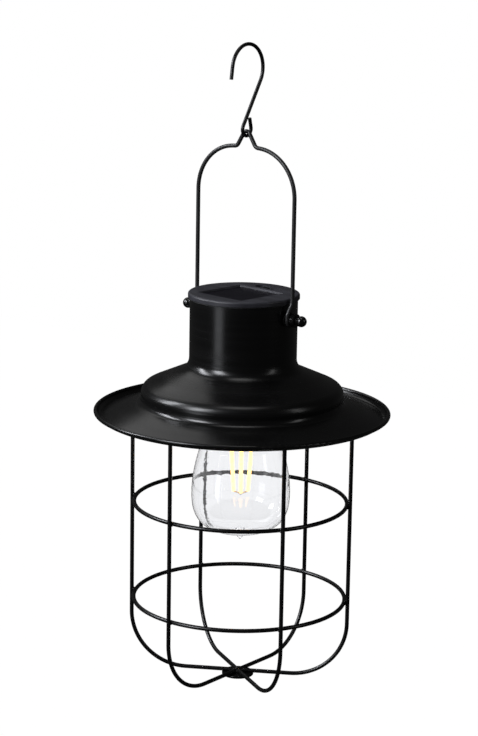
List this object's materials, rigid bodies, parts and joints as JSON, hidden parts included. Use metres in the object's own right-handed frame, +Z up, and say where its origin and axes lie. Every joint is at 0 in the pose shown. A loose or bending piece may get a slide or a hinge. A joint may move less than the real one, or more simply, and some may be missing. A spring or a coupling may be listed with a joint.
{
  "type": "solar garden lantern",
  "caption": "Hanging solar lantern: wire-caged filament bulb under a spun brimmed shade, lift-out solar cap with slide switch, swinging wire handle and S-hook.",
  "frame": {"origin": "the hanging point: underside of the S-hook's top loop, on the lantern's vertical axis", "axes": "+Z up along the lantern's axis, X along the two handle pivots, +Y towards the side of the cap that has the switch"},
  "size_m": [0.1802, 0.1802, 0.3914],
  "materials": {
    "black_powder_coat": "satin black powder coat",
    "black_hook_wire": "satin black powder coat",
    "black_hardware": "gloss black enamel",
    "cap_plastic": "fine matt grain",
    "seal_rubber": "matt",
    "solar_silicon": "dark blue-black cell",
    "cell_cover": "clear resin",
    "switch_plastic": "moulded",
    "board_green": "solder mask",
    "black_component": "moulded",
    "battery_sleeve": "shrink sleeve",
    "bright_steel": "plated",
    "lead_sleeve": "PVC sleeve",
    "holder_plastic": "satin",
    "brass": "bright",
    "nickel_base": "bright",
    "insulator_black": "glassy black",
    "clear_glass": "clear",
    "filament_phosphor": "phosphor coat"
  },
  "bodies": {
    "hook": {"s_hook": "black_hook_wire"},
    "handle": {"bail_handle": "black_powder_coat"},
    "lantern": {"shade": "black_powder_coat", "pivot_studs": "black_hardware", "pivot_washers": "black_hardware", "ball_nuts": "black_hardware", "cage_hub_disc": "black_powder_coat", "cage_hub_weld": "black_powder_coat", "cage_lower_ring": "black_powder_coat", "cage_top_ring": "black_powder_coat", "cage_upper_ring": "black_powder_coat", "cage_wire_1": "black_powder_coat", "cage_wire_2": "black_powder_coat", "cage_wire_3": "black_powder_coat", "cage_wire_4": "black_powder_coat", "cage_wire_5": "black_powder_coat", "cage_wire_6": "black_powder_coat"},
    "solar_module": {"solar_cap": "cap_plastic", "cap_seal": "seal_rubber", "solar_cell": "solar_silicon", "cell_cover": "cell_cover", "switch_body": "switch_plastic", "circuit_board": "board_green", "board_screws": "bright_steel", "driver_chip": "black_component", "inductor": "black_component", "battery": "battery_sleeve", "battery_tray": "cap_plastic", "battery_spring": "bright_steel", "battery_contact": "bright_steel", "base_plate": "cap_plastic", "base_screws": "bright_steel", "bulb_leads": "lead_sleeve", "lamp_holder": "holder_plastic", "holder_shell": "brass", "centre_contact": "brass", "bulb_screw_base": "nickel_base", "bulb_insulator": "insulator_black", "bulb_contact": "brass", "bulb_glass": "clear_glass", "bulb_stem": "clear_glass", "filament_supports": "bright_steel", "filament_1": "filament_phosphor", "filament_2": "filament_phosphor", "filament_3": "filament_phosphor", "filament_4": "filament_phosphor"},
    "switch": {"switch_knob": "switch_plastic"}
  },
  "joints": [
    {"name": "hook_swing", "type": "hinge", "parent": "hook", "child": "handle", "pos_m": [0, 0, -0.05015], "axis": [1, 0, 0], "range_deg": [-40, 40]},
    {"name": "handle_pivot", "type": "hinge", "parent": "handle", "child": "lantern", "pos_m": [0, 0, -0.15905], "axis": [1, 0, 0], "range_deg": [-115, 115]},
    {"name": "module_lift", "type": "slide", "parent": "lantern", "child": "solar_module", "axis": [0, 0, 1], "range_m": [0, 0.06]},
    {"name": "switch_slide", "type": "slide", "parent": "solar_module", "child": "switch", "axis": [0.9945, -0.1045, 0], "range_m": [0, 0.005]}
  ]
}
